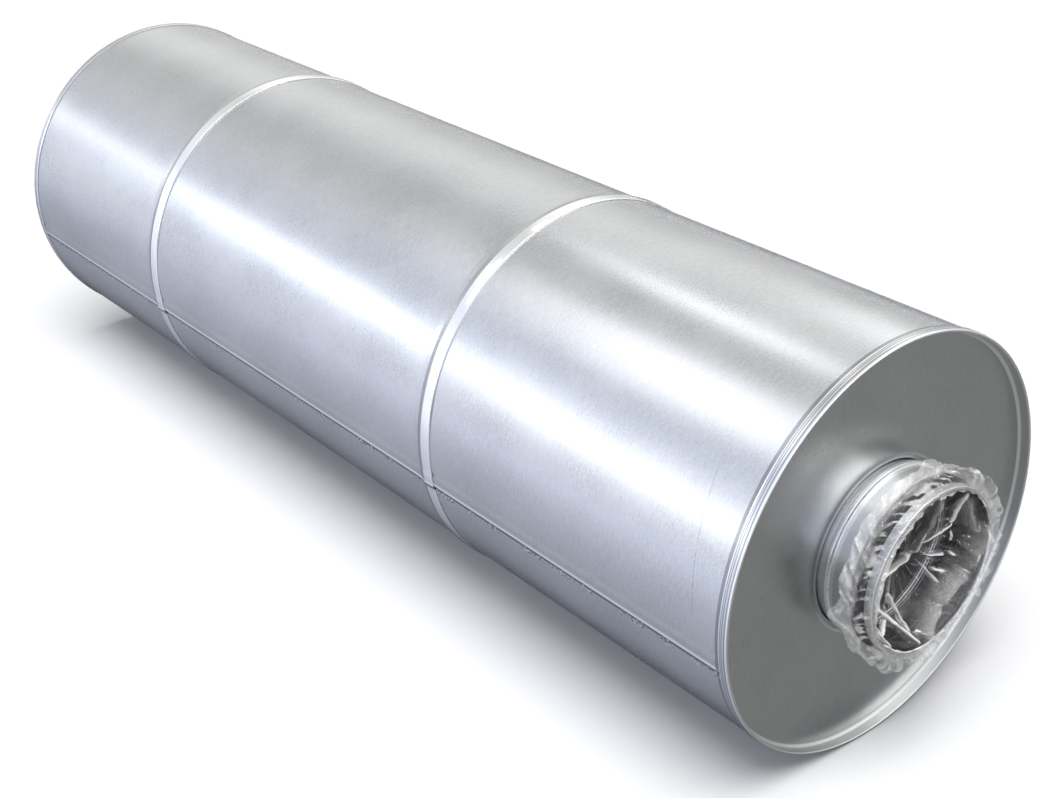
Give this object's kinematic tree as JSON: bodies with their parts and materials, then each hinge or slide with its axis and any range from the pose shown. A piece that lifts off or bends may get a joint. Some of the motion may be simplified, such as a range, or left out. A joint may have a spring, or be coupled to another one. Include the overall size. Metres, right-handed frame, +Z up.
{
  "type": "duct sound attenuator",
  "caption": "Round galvanised duct sound attenuator: lock-seamed casing, recessed end plates, sealed spigots, perforated inner tube and mineral wool, with film over one mouth.",
  "frame": {"origin": "centre of the casing's rear rim plane, on the duct axis, where a duct pushed over the rear spigot stops at the bead", "axes": "+X along the duct axis from the bare rear spigot to the film-covered front spigot, +Z up as the casing lies in the picture, with its lap low on the -Y side"},
  "size_m": [1.075, 0.3183, 0.3182],
  "materials": {
    "galvanised_casing": "galvanised, fine circumferential streaks",
    "galvanised_end_plate": "galvanised, smooth and reflective",
    "galvanised_spigot": "galvanised, drawn",
    "seal_rubber": "matt black rubber",
    "perforated_steel": "perforated galvanised sheet",
    "glass_fleece": "black glass fleece",
    "mineral_wool": "yellow mineral wool",
    "clear_film": "clear crumpled packing film"
  },
  "bodies": {
    "root": {"front_casing_shell": "galvanised_casing", "middle_casing_shell": "galvanised_casing", "rear_casing_shell": "galvanised_casing", "front_end_plate": "galvanised_end_plate", "rear_end_plate": "galvanised_end_plate", "front_spigot": "galvanised_spigot", "rear_spigot": "galvanised_spigot", "front_spigot_seal": "seal_rubber", "rear_spigot_seal": "seal_rubber", "perforated_inner_tube": "perforated_steel", "glass_fleece_wrap": "glass_fleece", "inner_wool_layer": "mineral_wool", "outer_wool_layer": "mineral_wool", "front_spigot_film": "clear_film"}
  },
  "joints": []
}
